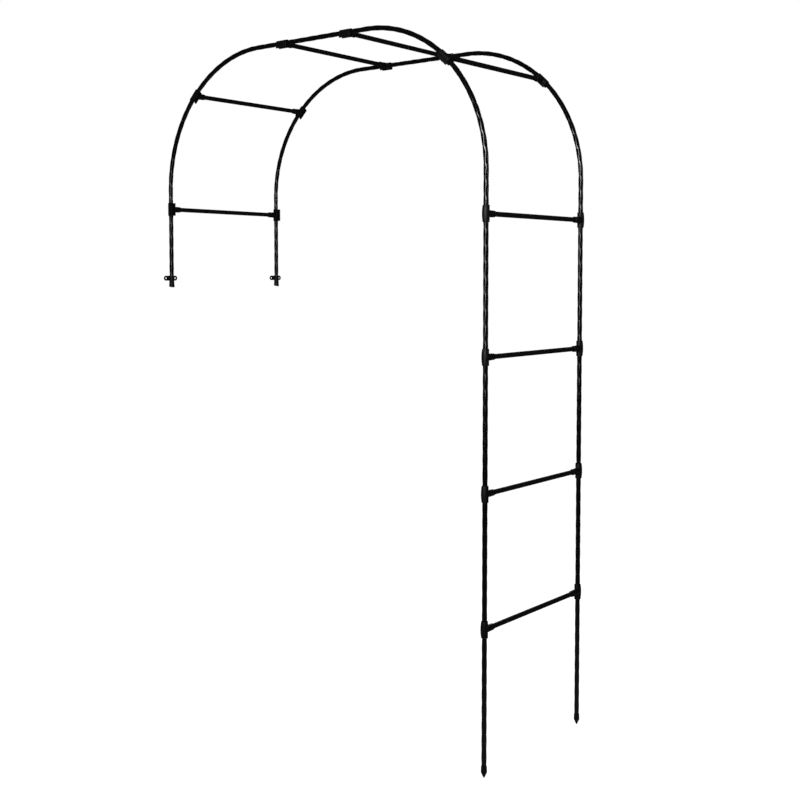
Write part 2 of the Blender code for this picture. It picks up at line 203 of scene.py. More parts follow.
class TrellisFittingSettings(bpy.types.PropertyGroup):
    """Sizes of the ground spikes, end caps and wall clips."""

    spike_radius: length("Spike radius", "Radius of the collar", SPIKE_SIZE.x / 2)
    spike_height: length("Spike height", "Height of the whole spike", SPIKE_SIZE.z)
    spike_cone: length("Spike cone", "Height of the point", 0.017)
    spike_floor: length("Spike floor", "Height of the floor inside the collar", 0.0195)
    spike_top_radius: length("Spike top radius", "Radius at the top of the collar", 0.0089)
    cap_radius: length("Cap radius", "Radius of the flared skirt", CAP_SIZE.x / 2)
    cap_height: length("Cap height", "Height of the cap", CAP_SIZE.z)
    cap_floor: length("Cap floor", "Height of the tube's seat in the cap", 0.0095)
    cap_slant: bpy.props.FloatProperty(
        name="Cap slant", description="Rise of the foot per length towards the wall", default=0.2,
    )
    loose_bore: length("Loose bore", "Radius of the bores that the legs stand in", 0.0083)
    clip_height: length("Clip height", "Height of the clip", CLIP_HIGH.z - CLIP_LOW.z)
    clip_ring_radius: length("Clip ring radius", "Radius of the ring", CLIP_HIGH.x + LEG_X)
    clip_bore_radius: length("Clip bore", "Bore of the ring", 0.00835)
    hole_spacing: length("Hole spacing", "Between the two screw holes", 0.043)
    hole_radius: length("Hole radius", "Radius of a screw hole", 0.0034)
    lug_back: length("Lug back", "From the tube's centre to the wall face", -LEG_X - CLIP_LOW.x)
    lug_thickness: length("Lug thickness", "Thickness of the lugs", 0.003)
    lug_inset: length("Lug inset", "How far the lugs stay below the ring's ends", 0.0004)


class TrellisColourSettings(bpy.types.PropertyGroup):
    """Colours of the finishes and the floor."""

    hoop: colour("Hoop coating", "Satin powder coat of the hoops", (0.0028, 0.0029, 0.0032))
    rung: colour("Rung coating", "Matt powder coat of the rungs", (0.0032, 0.0032, 0.0033))
    plastic: colour("Plastic", "Moulded plastic of the tees and fittings", (0.0034, 0.0034, 0.0035))
    floor: colour("Floor", "Pale studio floor", (0.80, 0.80, 0.80))
    backdrop: colour("Backdrop", "Pale light of the room", (1.0, 1.0, 1.0))


class TrellisStageSettings(bpy.types.PropertyGroup):
    """Camera and floor."""

    camera_place: bpy.props.FloatVectorProperty(
        name="Camera place", description="Where the camera stands", default=(2.6628, -3.0934, 1.5035),
        size=3, subtype="TRANSLATION", unit="LENGTH",
    )
    camera_turn: bpy.props.FloatProperty(
        name="Camera turn", description="Angle round the object from the front",
        default=math.radians(38.985), subtype="ANGLE",
    )
    camera_drop: bpy.props.FloatProperty(
        name="Camera drop", description="How far the camera looks down",
        default=math.radians(3.018), subtype="ANGLE",
    )
    lens: bpy.props.FloatProperty(name="Lens", description="Focal length in millimetres", default=52.78)
    sensor: bpy.props.FloatProperty(name="Sensor", description="Sensor width in millimetres", default=36.0)
    rise: bpy.props.FloatProperty(name="Lens shift", description="Upward shift of the lens", default=-0.08)
    floor_size: length("Floor size", "Radius of the round floor", 40.0)


SETTING_GROUPS = {
    "trellis_tubes": TrellisTubeSettings,
    "trellis_tees": TrellisTeeSettings,
    "trellis_fittings": TrellisFittingSettings,
    "trellis_colours": TrellisColourSettings,
    "trellis_stage": TrellisStageSettings,
}


# ---------------------------------------------------------------- making meshes

def mesh_of(made, name):
    """Turn a bmesh into a mesh with outward faces, and free it."""
    bmesh.ops.recalc_face_normals(made, faces=made.faces)
    mesh = bpy.data.meshes.new(name)
    made.to_mesh(mesh)
    made.free()
    return mesh


def placed(name, mesh, matrix=None):
    """Put a mesh in the scene as a named object."""
    piece = bpy.data.objects.new(name, mesh)
    bpy.context.scene.collection.objects.link(piece)
    if matrix is not None:
        piece.matrix_world = matrix
    return piece


def turned_to(x_axis, y_axis, z_axis):
    """Matrix that turns a piece's own axes to the given directions."""
    return Matrix((x_axis, y_axis, z_axis)).transposed().to_4x4()


def smooth_round(mesh):
    """Shade the round faces smooth and keep the edges crisp."""
    mesh.shade_smooth()
    mesh.set_sharp_from_angle(angle=SMOOTH_ANGLE)


def settled(piece, helpers=()):
    """Return a piece's mesh with its modifiers applied, and remove the piece and its helpers."""
    bpy.context.view_layer.update()
    depsgraph = bpy.context.evaluated_depsgraph_get()
    mesh = bpy.data.meshes.new_from_object(piece.evaluated_get(depsgraph))
    mesh.name = piece.name
    for used in (piece, *helpers):
        bpy.data.objects.remove(used, do_unlink=True)
    return mesh


def eased(points, radius, steps=3, largest_share=0.45):
    """Round every inner corner of a profile with a short curve, which takes only a share of each side."""
    path = [points[0]]
    for before, corner, after in zip(points, points[1:], points[2:]):
        corner = Vector(corner)
        back = Vector(before) - corner
        ahead = Vector(after) - corner
        reach = min(radius, back.length * largest_share, ahead.length * largest_share)
        start = corner + back.normalized() * reach
        end = corner + ahead.normalized() * reach
        for step in range(steps + 1):
            t = step / steps
            path.append(tuple(start * (1 - t) ** 2 + corner * (2 * t * (1 - t)) + end * t ** 2))
    path.append(points[-1])
    return path


def turned(name, profile, sides=SIDES, closed=False):
    """Turn a profile of (radius, height) points about Z."""
    made = bmesh.new()
    verts = [made.verts.new((radius, 0.0, height)) for radius, height in profile]
    ends = zip(verts, verts[1:] + verts[:1]) if closed else zip(verts, verts[1:])
    edges = [made.edges.new(pair) for pair in ends]
    bmesh.ops.spin(
        made, geom=verts + edges, cent=(0, 0, 0), axis=(0, 0, 1), angle=2 * math.pi, steps=sides,
        use_merge=True,
    )
    bmesh.ops.remove_doubles(made, verts=made.verts, dist=ONE_POINT)
    return mesh_of(made, name)


def cylinder(name, radius, low, high, sides=FINE_SIDES):
    """Mesh of a plain cylinder along Z, for joining and cutting."""
    return turned(name, [(0.0, low), (radius, low), (radius, high), (0.0, high)], sides)


def block(name, low, high):
    """Mesh of a box between two corners."""
    made = bmesh.new()
    bmesh.ops.create_cube(made, size=1.0)
    size = Vector(high) - Vector(low)
    bmesh.ops.scale(made, vec=size, verts=made.verts)
    bmesh.ops.translate(made, vec=(Vector(high) + Vector(low)) / 2, verts=made.verts)
    return mesh_of(made, name)


def extruded(name, outline, half):
    """Mesh of a flat outline in XY, thickened both ways along Z."""
    made = bmesh.new()
    face = made.faces.new([made.verts.new((x, y, -half)) for x, y in outline])
    grown = bmesh.ops.extrude_face_region(made, geom=[face])
    raised = [item for item in grown["geom"] if isinstance(item, bmesh.types.BMVert)]
    bmesh.ops.translate(made, vec=(0, 0, 2 * half), verts=raised)
    return mesh_of(made, name)


def joined(piece, operation, helpers):
    """Add one Boolean modifier per helper."""
    for helper in helpers:
        modifier = piece.modifiers.new(helper.name, "BOOLEAN")
        modifier.operation = operation
        modifier.object = helper
        modifier.solver = "EXACT"


def moulded(body, additions, cuts, grain, rounding, keep, ease_factor=0.5):
    """Melt solids into one moulded shape with rounded edges, then cut it crisply."""
    joined(body, "UNION", additions)
    melt = body.modifiers.new("melt", "REMESH")
    melt.mode = "VOXEL"
    melt.voxel_size = grain
    ease = body.modifiers.new("round off", "SMOOTH")
    ease.factor = ease_factor
    ease.iterations = rounding
    thin = body.modifiers.new("thin out", "DECIMATE")
    thin.ratio = keep
    joined(body, "DIFFERENCE", cuts)
    mesh = settled(body, (*additions, *cuts))
    smooth_round(mesh)
    return mesh


def finished(piece, material, body, node):
    """Give a piece its finish, its body and the node it stands for."""
    piece.data.materials.clear()
    piece.data.materials.append(material)
    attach(piece, body)
    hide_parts(node)


# -------------------------------------------------------------------- finishes

class Finish:
    """A material under construction: its shader and the nodes that feed it."""

    def __init__(self, name, base, roughness, specular):
        self.material = bpy.data.materials.new(name)
        self.material.use_nodes = True
        self.nodes = self.material.node_tree.nodes
        self.links = self.material.node_tree.links
        self.shader = self.nodes["Principled BSDF"]
        self.shader.inputs["Base Color"].default_value = (*base, 1.0)
        self.shader.inputs["Roughness"].default_value = roughness
        self.shader.inputs["Specular IOR Level"].default_value = specular
        self.where = self.nodes.new("ShaderNodeTexCoord").outputs["Object"]
        self.normal = None

    def noise(self, scale, detail, stretch=None):
        """Noise with a number of waves per metre, stretched along an axis where asked."""
        noise = self.nodes.new("ShaderNodeTexNoise")
        noise.inputs["Scale"].default_value = scale
        noise.inputs["Detail"].default_value = detail
        where = self.where
        if stretch is not None:
            mapping = self.nodes.new("ShaderNodeMapping")
            mapping.inputs["Scale"].default_value = stretch
            self.links.new(where, mapping.inputs["Vector"])
            where = mapping.outputs["Vector"]
        self.links.new(where, noise.inputs["Vector"])
        return noise.outputs["Fac"]

    def spread(self, noise, low, high):
        """Spread a noise's usual span over a range."""
        mapped = self.nodes.new("ShaderNodeMapRange")
        spans = {"From Min": NOISE_LOW, "From Max": NOISE_HIGH, "To Min": low, "To Max": high}
        for socket, number in spans.items():
            mapped.inputs[socket].default_value = number
        self.links.new(noise, mapped.inputs["Value"])
        return mapped.outputs["Result"]

    def tinted(self, noise, dark, light):
        """Colour that runs from dark to light with a noise."""
        mix = self.nodes.new("ShaderNodeMix")
        mix.data_type = "RGBA"
        mix.inputs["A"].default_value = (*dark, 1.0)
        mix.inputs["B"].default_value = (*light, 1.0)
        self.links.new(self.spread(noise, 0.0, 1.0), mix.inputs["Factor"])
        self.links.new(mix.outputs["Result"], self.shader.inputs["Base Color"])

    def rough(self, noise, low, high):
        """Roughness that varies between two values with a noise."""
        self.links.new(self.spread(noise, low, high), self.shader.inputs["Roughness"])

    def bump(self, height, distance, strength):
        """Lay a bump over the earlier ones; its distance is in metres."""
        bump = self.nodes.new("ShaderNodeBump")
        bump.inputs["Distance"].default_value = distance
        bump.inputs["Strength"].default_value = strength
        self.links.new(height, bump.inputs["Height"])
        if self.normal is not None:
            self.links.new(self.normal, bump.inputs["Normal"])
        self.normal = bump.outputs["Normal"]
        self.links.new(self.normal, self.shader.inputs["Normal"])


def scaled(base, factor):
    """A colour made darker or lighter."""
    return tuple(min(1.0, channel * factor) for channel in base)


def satin_coat(base):
    """Satin black powder coat, with the faint orange peel of a baked coating."""
    finish = Finish("satin_powder_coat", base, roughness=0.17, specular=0.5)
    patches = finish.noise(scale=38.0, detail=3.0)
    sheen = finish.noise(scale=240.0, detail=3.0)
    peel = finish.noise(scale=900.0, detail=2.0)
    grit = finish.noise(scale=4200.0, detail=1.0)
    finish.tinted(patches, dark=scaled(base, 0.85), light=scaled(base, 1.2))
    finish.rough(sheen, low=0.15, high=0.20)
    finish.bump(peel, distance=0.000012, strength=0.5)
    finish.bump(grit, distance=0.000002, strength=0.4)
    return finish.material


def matt_coat(base):
    """Matt black powder coat of the rungs, finely grained."""
    finish = Finish("matt_powder_coat", base, roughness=0.6, specular=0.35)
    patches = finish.noise(scale=55.0, detail=4.0)
    sheen = finish.noise(scale=300.0, detail=3.0)
    grain = finish.noise(scale=2600.0, detail=3.0)
    finish.tinted(patches, dark=scaled(base, 0.8), light=scaled(base, 1.25))
    finish.rough(sheen, low=0.54, high=0.68)
    finish.bump(grain, distance=0.00004, strength=0.8)
    return finish.material


def moulded_plastic(base):
    """Black moulded plastic with a spark-eroded texture, upright flow marks and a faint waviness."""
    finish = Finish("moulded_plastic", base, roughness=0.5, specular=0.35)
    flow = finish.noise(scale=120.0, detail=4.0, stretch=(1.0, 1.0, 0.3))
    sheen = finish.noise(scale=420.0, detail=3.0)
    spark = finish.noise(scale=2000.0, detail=4.0)
    waviness = finish.noise(scale=160.0, detail=1.0)
    finish.tinted(flow, dark=scaled(base, 0.8), light=scaled(base, 1.3))
    finish.rough(sheen, low=0.44, high=0.58)
    finish.bump(waviness, distance=0.00025, strength=0.5)
    finish.bump(spark, distance=0.00006, strength=0.8)
    return finish.material


def floor_paint(base):
    """Matt floor paint, faintly clouded, that glows only as seen by the camera."""
    finish = Finish("studio_floor_paint", base, roughness=0.9, specular=0.1)
    clouds = finish.noise(scale=1.5, detail=2.0)
    finish.tinted(clouds, dark=scaled(base, 0.985), light=base)
    finish.shader.inputs["Emission Color"].default_value = WHITE
    rays = finish.nodes.new("ShaderNodeLightPath")
    finish.links.new(rays.outputs["Is Camera Ray"], finish.shader.inputs["Emission Strength"])
    return finish.material


def shared(name, maker, base):
    """Return a finish by name, made on first use."""
    return bpy.data.materials.get(name) or maker(tuple(base))


# ------------------------------------------------------------------- hoop tubes

class Hoop:
    """The centre line of one hoop, from the foot of the ground leg over to the wall leg.

    Distances run along it, and on the ground leg they are heights.
    """

    def __init__(self, y, bend_radius):
        self.y = y
        self.radius = bend_radius
        self.bend_start = CROWN_Z - bend_radius
        self.top_half = LEG_X - bend_radius
        self.quarter = bend_radius * math.pi / 2
        self.top_start = self.bend_start + self.quarter
        self.top_end = self.top_start + 2 * self.top_half
        self.fall_start = self.top_end + self.quarter

    def on_top(self, x):
        """Distance along the hoop to a place along the top."""
        return self.top_start + self.top_half - x

    def on_wall_leg(self, height):
        """Distance along the hoop to a height on the wall leg."""
        return self.fall_start + self.bend_start - height

    def at(self, distance):
        """Place and outward direction at a distance along the hoop."""
        if distance < self.bend_start:
            return Vector((LEG_X, self.y, distance)), Vector((1, 0, 0))
        if distance > self.fall_start:
            return Vector((-LEG_X, self.y, self.bend_start + self.fall_start - distance)), Vector((-1, 0, 0))
        if self.top_start <= distance <= self.top_end:
            return Vector((self.top_start + self.top_half - distance, self.y, CROWN_Z)), Vector((0, 0, 1))
        if distance < self.top_start:
            angle = (distance - self.bend_start) / self.radius
            centre = self.top_half
        else:
            angle = math.pi / 2 + (distance - self.top_end) / self.radius
            centre = -self.top_half
        outward = Vector((math.cos(angle), 0, math.sin(angle)))
        return Vector((centre, self.y, self.bend_start)) + outward * self.radius, outward

    def inward(self, place):
        """Direction from a place on the hoop to the inside of the arch."""
        if place.z <= self.bend_start:
            return Vector((-math.copysign(1, place.x), 0, 0))
        if abs(place.x) <= self.top_half:
            return Vector((0, 0, -1))
        centre = Vector((math.copysign(self.top_half, place.x), 0, self.bend_start))
        return (centre - Vector((place.x, 0, place.z))).normalized()


def strip(made, lower, upper, shift=0):
    """Faces between two rings of points, the upper one shifted round by a number of points."""
    sides = len(lower)
    for side in range(sides):
        after = (side + 1) % sides
        above = (side + shift) % sides
        above_after = (after + shift) % sides
        made.faces.new((lower[side], lower[after], upper[above_after], upper[above]))


def fluted_tube(name, hoop, start, end, sizes, spigot):
    """Mesh of a spiral-fluted tube along part of a hoop, hollow, with an optional spigot at its end."""
    made = bmesh.new()
    sides = sizes.flutes * POINTS_PER_FLUTE
    step = 2 * math.pi / sides
    turn_per_length = 2 * math.pi / (sizes.flutes * sizes.flute_pitch)
    body_end = end - sizes.swage if spigot else end
    tip = end + sizes.spigot_length if spigot else end
    first_turn = start * turn_per_length
    last_turn = body_end * turn_per_length

    def ring(distance, radius, depth, turn):
        """One ring of points round the tube, with its flutes cut to a depth."""
        place, outward = hoop.at(distance)
        verts = []
        for side in range(sides):
            flute = (1 - math.cos(sizes.flutes * side * step)) / 2
            reach = radius - depth * flute
            angle = side * step + turn
            spoke = outward * math.cos(angle) + ACROSS * math.sin(angle)
            verts.append(made.verts.new(place + spoke * reach))
        return verts

    ring_count = math.ceil((body_end - start) / RING_SPACING)
    outer = []
    for number in range(ring_count + 1):
        distance = start + (body_end - start) * number / ring_count
        outer.append(ring(distance, sizes.tube_radius, sizes.flute_depth, distance * turn_per_length))
    bore = sizes.tube_radius - sizes.tube_wall - sizes.flute_depth
    stations = [(body_end, bore)]
    if spigot:
        neck = sizes.spigot_radius
        outer.append(ring(end, neck, 0.0, last_turn))
        outer.append(ring(tip - sizes.joint_gap, neck, 0.0, last_turn))
        outer.append(ring(tip, neck - sizes.spigot_chamfer, 0.0, last_turn))
        neck_bore = neck - sizes.tube_wall
        stations = [(tip, neck_bore), (end, neck_bore), (body_end, bore)]
    bore_count = math.ceil((body_end - start) / BORE_RING_SPACING)
    for number in range(1, bore_count + 1):
        stations.append((body_end + (start - body_end) * number / bore_count, bore))

    # The bore is plain; its rings turn by under half a step, to meet the fluted skin at both ends.
    shift = round((last_turn - first_turn) / step)
    slack = (last_turn - first_turn) - shift * step
    inner = []
    for distance, radius in stations:
        part = (distance - start) / (tip - start)
        inner.append(ring(distance, radius, 0.0, first_turn + slack * part))

    for lower, upper in zip(outer, outer[1:]):
        strip(made, lower, upper)
    strip(made, outer[-1], inner[0], shift % sides)
    for lower, upper in zip(inner, inner[1:]):
        strip(made, lower, upper)
    strip(made, inner[-1], outer[0])
    mesh = mesh_of(made, name)
    smooth_round(mesh)
    return mesh


class TRELLIS_OT_hoop_tubes(bpy.types.Operator):
    """Make the four spiral-fluted tubes of each hoop"""

    bl_idname = "trellis.hoop_tubes"
    bl_label = "Hoop tubes"

    def execute(self, context):
        sizes = context.scene.trellis_tubes
        coat = shared("satin_powder_coat", satin_coat, context.scene.trellis_colours.hoop)
        gap = sizes.joint_gap
        for side in HOOPS:
            hoop = Hoop(HOOP_Y[side], sizes.bend_radius)
            lower_joint = low_end(side + "_upper_leg")
            upper_joint = low_end(side + "_ground_bow")
            top_joint = hoop.on_top(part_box(side + "_wall_bow")[1].x)
            spans = {
                "lower_leg": (low_end(side + "_lower_leg"), lower_joint - gap, True),
                "upper_leg": (lower_joint, upper_joint - gap, True),
                "ground_bow": (upper_joint, top_joint - gap, True),
                "wall_bow": (top_joint, hoop.on_wall_leg(low_end(side + "_wall_bow")), False),
            }
            for part, (start, end, spigot) in spans.items():
                node = "%s_%s" % (side, part)
                mesh = fluted_tube(node + "_tube", hoop, start, end, sizes, spigot)
                finished(placed(node + "_tube", mesh), coat, "arch", node)
        return {"FINISHED"}


# ------------------------------------------------------------------------ rungs

class TRELLIS_OT_rungs(bpy.types.Operator):
    """Make the nine plain rungs"""

    bl_idname = "trellis.rungs"
    bl_label = "Rungs"

    def execute(self, context):
        sizes = context.scene.trellis_tubes
        coat = shared("matt_powder_coat", matt_coat, context.scene.trellis_colours.rung)
        half = extent("rung_1").y / 2
        outer = sizes.rung_radius
        inner = outer - sizes.rung_wall
        broken_edge = 0.3 * sizes.rung_wall
        near_end = [(inner, -half), (outer - broken_edge, -half), (outer, -half + broken_edge)]
        far_end = [(outer, half - broken_edge), (outer - broken_edge, half), (inner, half)]
        mesh = turned("rung_tube", near_end + far_end, RUNG_SIDES, closed=True)
        smooth_round(mesh)
        for number in RUNG_NUMBERS:
            node = "rung_%d" % number
            piece = placed(node + "_tube", mesh, Matrix.Translation(middle(node)) @ ALONG_Y)
            finished(piece, coat, "arch", node)
        return {"FINISHED"}


# ------------------------------------------------------------------------- tees

def socket_pieces(sizes):
    """The rung's socket and its bore, both along +Y, as helpers."""
    mouth = sizes.socket_mouth_radius
    reach = sizes.socket_reach
    lip = 0.0012
    taper = 0.0002
    profile = [
        (0.0, 0.0),
        (sizes.socket_radius, 0.0),
        (mouth + taper, reach - 3 * lip),
        (mouth, reach - lip / 2),
        (mouth - lip / 3, reach),
        (0.0, reach),
    ]
    socket = placed("tee_socket", turned("tee_socket", profile, FINE_SIDES), ALONG_Y)
    push_fit = 0.0002
    chamfer = 0.0006
    rung = bpy.context.scene.trellis_tubes.rung_radius + push_fit
    bore_profile = [
        (0.0, sizes.socket_floor),
        (rung, sizes.socket_floor),
        (rung, reach - chamfer),
        (rung + 2 * chamfer, reach + chamfer),
        (0.0, reach + chamfer),
    ]
    bore = placed("tee_rung_bore", turned("tee_rung_bore", bore_profile, RUNG_SIDES), ALONG_Y)
    return socket, bore


def sleeve_bore(name, radius, half):
    """Cutter for a sleeve's bore, flared a little at both ends."""
    flare = 0.0005
    profile = [
        (0.0, -half - flare),
        (radius + 2 * flare, -half - flare),
        (radius, -half + flare),
        (radius, half - flare),
        (radius + 2 * flare, half + flare),
        (0.0, half + flare),
    ]
    return placed(name, turned(name, profile))


def bulged_sleeve(sizes, rows=12, sharpness=1.6):
    """Mesh of the full sleeve along Z, whose back on the -Y side swells towards mid-height."""
    half = sizes.leg_length / 2
    plain = sizes.leg_sleeve_radius
    skin = [(plain, -half + sizes.leg_length * row / rows) for row in range(rows + 1)]
    mesh = turned("leg_tee", [(0.0, -half), *skin, (0.0, half)], FINE_SIDES)
    for vert in mesh.vertices:
        reach = math.hypot(vert.co.x, vert.co.y)
        if reach < ONE_POINT:
            continue
        backward = min(1.0, max(0.0, -sharpness * vert.co.y / reach))
        crown = 1 - (vert.co.z / half) ** 2
        back = sizes.back_end + (sizes.back_bulge - sizes.back_end) * crown
        scale = (plain + (back - plain) * backward) / reach
        vert.co.x *= scale
        vert.co.y *= scale
    return mesh


def tee_web(sizes):
    """Thin web in the corners between the full sleeve and its socket."""
    root = 0.45 * sizes.leg_length / 2
    root_reach = 0.0102
    tip = 0.009
    tip_reach = 0.019
    half_thickness = 0.0035
    half_outline = [(root, 0.0), (root, root_reach), (tip, tip_reach)]
    mirrored = [(-along, reach) for along, reach in half_outline]
    outline = mirrored + half_outline[::-1]
    upright = turned_to((0, 0, -1), (0, 1, 0), (1, 0, 0))
    return placed("tee_web", extruded("tee_web", outline, half_thickness), upright)


def leg_tee_mesh(sizes):
    """Full sleeve with a bulged back; its socket points along +Y."""
    body = placed("leg_tee", bulged_sleeve(sizes))
    socket, bore = socket_pieces(sizes)
    hole = sleeve_bore("tee_tube_bore", sizes.leg_bore_radius, sizes.leg_length / 2)
    return moulded(body, (socket, tee_web(sizes)), (hole, bore), sizes.grain, rounding=7, keep=0.22)


def clip_tee_mesh(sizes):
    """Snap-on sleeve, open between two square jaws on its +X side; its socket points along +Y."""
    half = sizes.clip_length / 2
    body = placed("clip_tee", cylinder("clip_tee", sizes.clip_sleeve_radius, -half, half))
    wide = sizes.jaw_half_width
    jaws = placed("clip_tee_jaws", block("clip_tee_jaws", (0.0, -wide, -half), (sizes.jaw_reach, wide, half)))
    socket, bore = socket_pieces(sizes)
    hole = sleeve_bore("tee_tube_bore", sizes.clip_bore_radius, half)
    gap = sizes.jaw_slot_half
    slot = placed("tee_slot", block("tee_slot", (0.0, -gap, -2 * half), (2 * sizes.jaw_reach, gap, 2 * half)))
    return moulded(body, (jaws, socket), (hole, bore, slot), sizes.grain, rounding=5, keep=0.22)


def place_tees(context, mesh, numbers):
    """Put a tee at both ends of each numbered rung."""
    plastic = shared("moulded_plastic", moulded_plastic, context.scene.trellis_colours.plastic)
    for number in numbers:
        rung = middle("rung_%d" % number)
        for side, y in HOOP_Y.items():
            inward = Hoop(y, context.scene.trellis_tubes.bend_radius).inward(rung)
            socket = Vector((0, -math.copysign(1, y), 0))
            turn = turned_to(inward, socket, inward.cross(socket))
            node = "%s_tee_%d" % (side, number)
            piece = placed(node + "_moulding", mesh, Matrix.Translation((rung.x, y, rung.z)) @ turn)
            finished(piece, plastic, "arch", node)


class TRELLIS_OT_leg_tees(bpy.types.Operator):
    """Make the full-sleeve tees of the ground legs"""

    bl_idname = "trellis.leg_tees"
    bl_label = "Leg tees"

    def execute(self, context):
        place_tees(context, leg_tee_mesh(context.scene.trellis_tees), LEG_TEE_NUMBERS)
        return {"FINISHED"}


class TRELLIS_OT_clip_tees(bpy.types.Operator):
    """Make the snap-on tees of the bows and the wall legs"""

    bl_idname = "trellis.clip_tees"
    bl_label = "Clip tees"

    def execute(self, context):
        place_tees(context, clip_tee_mesh(context.scene.trellis_tees), CLIP_TEE_NUMBERS)
        return {"FINISHED"}


# -------------------------------------------------------- spikes, caps and clips

def place_pair(context, mesh, node_end, piece_end, slot, x, z):
    """Put a fitting on the front hoop and its twin on the rear hoop."""
    plastic = shared("moulded_plastic", moulded_plastic, context.scene.trellis_colours.plastic)
    for side, y in HOOP_Y.items():
        body = side + "_clip" if slot == "wall_clip" else "arch"
        piece = placed("%s_%s" % (side, piece_end), mesh, Matrix.Translation((x, y, z)))
        finished(piece, plastic, body, "%s_%s" % (side, node_end))


class TRELLIS_OT_ground_spikes(bpy.types.Operator):
    """Make the pointed shoes of the ground legs"""

    bl_idname = "trellis.ground_spikes"
    bl_label = "Ground spikes"

    def execute(self, context):
        sizes = context.scene.trellis_fittings
        height = sizes.spike_height
        top = sizes.spike_top_radius
        cone = sizes.spike_cone
        mouth_chamfer = 0.0002
        taper = 0.0001
        rim = 0.0008
        neck = 0.006
        band_top = 0.003
        band_foot = 0.0012
        shoulder_width = 0.0011
        shoulder_drop = 0.001
        belly = (0.0042, 0.0068)
        blunt_tip = (0.0011, 0.0008)
        rounding = 0.0009
        collar = [
            (sizes.loose_bore, sizes.spike_floor),
            (sizes.loose_bore, height - mouth_chamfer),
            (top - taper, height),
            (top, height - rim),
            (top + taper, height - neck),
            (sizes.spike_radius, cone + band_top),
            (sizes.spike_radius, cone + band_foot),
            (sizes.spike_radius - shoulder_width, cone - shoulder_drop),
            belly,
            blunt_tip,
            (0.0, 0.0),
        ]
        profile = [(0.0, sizes.spike_floor)] + eased(collar, rounding)
        mesh = turned("ground_spike", profile)
        smooth_round(mesh)
        tip_z = low_end("front_ground_spike")
        place_pair(context, mesh, "ground_spike", "spike_moulding", "spike", LEG_X, tip_z)
        return {"FINISHED"}


class TRELLIS_OT_end_caps(bpy.types.Operator):
    """Make the flared caps at the feet of the wall legs"""

    bl_idname = "trellis.end_caps"
    bl_label = "End caps"

    def execute(self, context):
        sizes = context.scene.trellis_fittings
        height = sizes.cap_height
        skirt_flare = 0.0007
        waist = sizes.cap_radius - skirt_flare
        waist_height = 0.42 * height
        mouth_chamfer = 0.0003
        rim_inset = 0.0005
        rim_foot_inset = 0.0003
        rim = 0.0012
        hem = 0.003
        rounding = 0.0007
        shell = [
            (sizes.loose_bore, sizes.cap_floor),
            (sizes.loose_bore, height - mouth_chamfer),
            (sizes.loose_bore + mouth_chamfer, height),
            (waist - rim_inset, height),
            (waist - rim_foot_inset, height - rim),
            (waist, waist_height),
            (sizes.cap_radius, hem),
            (sizes.cap_radius, 0.0),
            (0.0, 0.0),
        ]
        profile = [(0.0, sizes.cap_floor)] + eased(shell, rounding)
        mesh = turned("end_cap", profile)
        for vert in mesh.vertices:
            if vert.co.z <= hem:
                vert.co.z += sizes.cap_slant * (sizes.cap_radius - vert.co.x) * (1 - vert.co.z / (2 * hem))
        smooth_round(mesh)
        foot_z = low_end("front_end_cap")
        place_pair(context, mesh, "end_cap", "cap_moulding", "end_cap", -LEG_X, foot_z)
        return {"FINISHED"}


def lug_outline(ear, radius, steps=12):
    """Outline of a bar with round ends, in XY along X."""
    half_turn = [math.pi * step / steps - math.pi / 2 for step in range(steps + 1)]
    right = [(ear + radius * math.cos(angle), radius * math.sin(angle)) for angle in half_turn]
    left = [(-x, -y) for x, y in right]
    return right + left


def screw_hole(radius, deep, front, spot):
    """Cutter for a screw hole along X, countersunk a little at the front of the lug."""
    rim = 0.0005
    profile = [
        (0.0, -deep),
        (radius, -deep),
        (radius, front - rim),
        (radius + 2 * rim, front + rim),
        (0.0, front + rim),
    ]
    turn = Matrix.Translation((0, spot, 0)) @ ALONG_X
    return placed("clip_hole", turned("clip_hole", profile, HOLE_SIDES), turn)


class TRELLIS_OT_wall_clips(bpy.types.Operator):
    """Make the sliding wall clips, each a ring with two eared lugs"""

    bl_idname = "trellis.wall_clips"
    bl_label = "Wall clips"

    def execute(self, context):
        sizes = context.scene.trellis_fittings
        half = sizes.clip_height / 2
        fine_grain = 0.8 * context.scene.trellis_tees.grain
        ear = sizes.hole_spacing / 2
        body = placed("wall_clip", cylinder("wall_clip", sizes.clip_ring_radius, -half, half))

        # The lugs are drawn too deep, and the wall block cuts them and the ring flat at the back.
        deep = 2 * sizes.lug_back
        front = -sizes.lug_back + sizes.lug_thickness
        lugs = extruded("clip_lugs", lug_outline(ear, half - sizes.lug_inset), (front + deep) / 2)
        across = turned_to((0, 1, 0), (0, 0, 1), (1, 0, 0))
        plate = placed("clip_lugs", lugs, Matrix.Translation(((front - deep) / 2, 0, 0)) @ across)
        wide = 0.06
        tall = 0.03
        behind = block("clip_wall", (-3 * deep, -wide, -tall), (-sizes.lug_back, wide, tall))
        wall = placed("clip_wall", behind)
        bore = placed("clip_bore", cylinder("clip_bore", sizes.clip_bore_radius, -2 * half, 2 * half, SIDES))
        holes = [screw_hole(sizes.hole_radius, deep, front, spot) for spot in (-ear, ear)]
        mesh = moulded(body, (plate,), (wall, bore, *holes), fine_grain, rounding=4, keep=0.3)
        clip_z = middle("front_wall_clip").z
        place_pair(context, mesh, "wall_clip", "clip_moulding", "wall_clip", -LEG_X, clip_z)
        return {"FINISHED"}


# ------------------------------------------------------------------------ stage

def aim(place, target):
    """Matrix that stands at a place and looks at a target along -Z."""
    back = (Vector(place) - Vector(target)).normalized()
    return Matrix.Translation(place) @ back.to_track_quat("Z", "Y").to_matrix().to_4x4()


